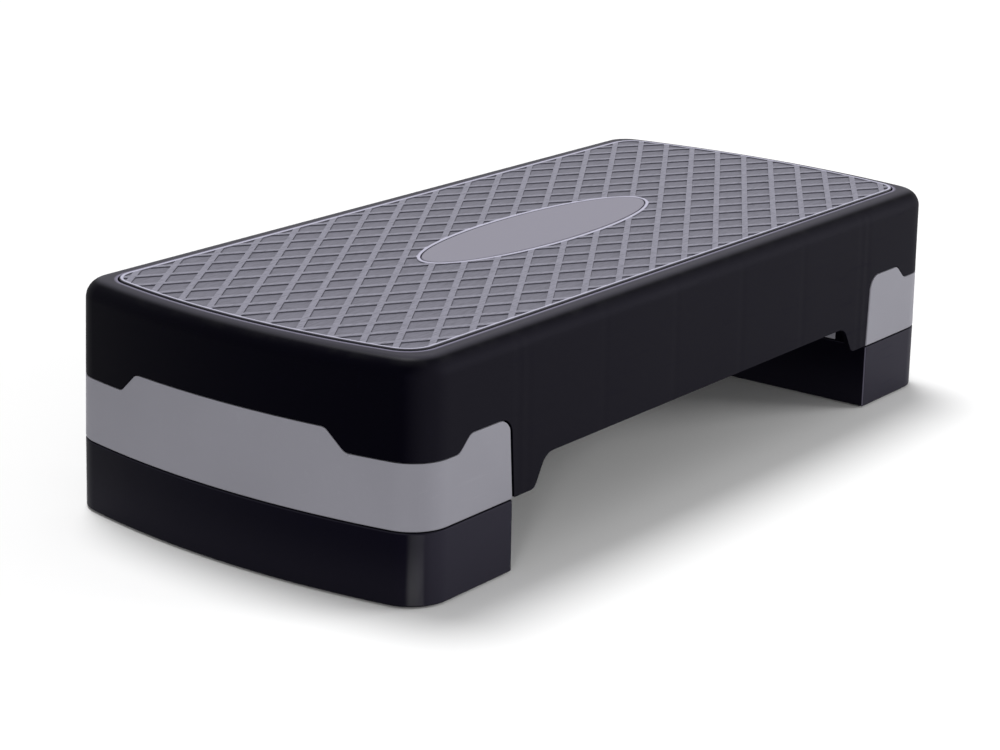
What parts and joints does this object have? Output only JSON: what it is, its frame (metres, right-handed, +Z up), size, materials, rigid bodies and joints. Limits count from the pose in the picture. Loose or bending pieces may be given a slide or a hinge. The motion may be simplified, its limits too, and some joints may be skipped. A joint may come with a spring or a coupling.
{
  "type": "aerobic step platform",
  "caption": "Two-level aerobic step: diamond-ribbed rubber tread on a black moulded deck with grey end legs that stand on lift-off black riser blocks.",
  "frame": {"origin": "on the floor, under the middle of the deck", "axes": "+X along the deck, +Y across it, +Z up"},
  "size_m": [0.6314, 0.2838, 0.15],
  "materials": {
    "deck_black": "satin moulded",
    "riser_black": "satin moulded",
    "leg_grey": "satin moulded",
    "mat_grey": "matt ribbed",
    "oval_grey": "smooth matt",
    "pad_rubber": "matt",
    "screw_steel": "zinc plated"
  },
  "bodies": {
    "deck_unit": {"deck_shell": "deck_black", "deck_mat": "mat_grey", "oval_plate": "oval_grey", "leg_left": "leg_grey", "leg_screws_left": "screw_steel", "leg_pad_left_inner_front": "pad_rubber", "leg_pad_left_inner_back": "pad_rubber", "leg_pad_left_outer_front": "pad_rubber", "leg_pad_left_outer_back": "pad_rubber", "leg_right": "leg_grey", "leg_screws_right": "screw_steel", "leg_pad_right_inner_front": "pad_rubber", "leg_pad_right_inner_back": "pad_rubber", "leg_pad_right_outer_front": "pad_rubber", "leg_pad_right_outer_back": "pad_rubber"},
    "left_riser_unit": {"riser_left": "riser_black", "riser_pad_left_inner_front": "pad_rubber", "riser_pad_left_inner_back": "pad_rubber", "riser_pad_left_outer_front": "pad_rubber", "riser_pad_left_outer_back": "pad_rubber"},
    "right_riser_unit": {"riser_right": "riser_black", "riser_pad_right_inner_front": "pad_rubber", "riser_pad_right_inner_back": "pad_rubber", "riser_pad_right_outer_front": "pad_rubber", "riser_pad_right_outer_back": "pad_rubber"}
  },
  "joints": [
    {"name": "left_riser_lift_off", "type": "slide", "parent": "deck_unit", "child": "left_riser_unit", "axis": [0, 0, -1], "range_m": [0, 0.06]},
    {"name": "right_riser_lift_off", "type": "slide", "parent": "deck_unit", "child": "right_riser_unit", "axis": [0, 0, -1], "range_m": [0, 0.06]}
  ]
}
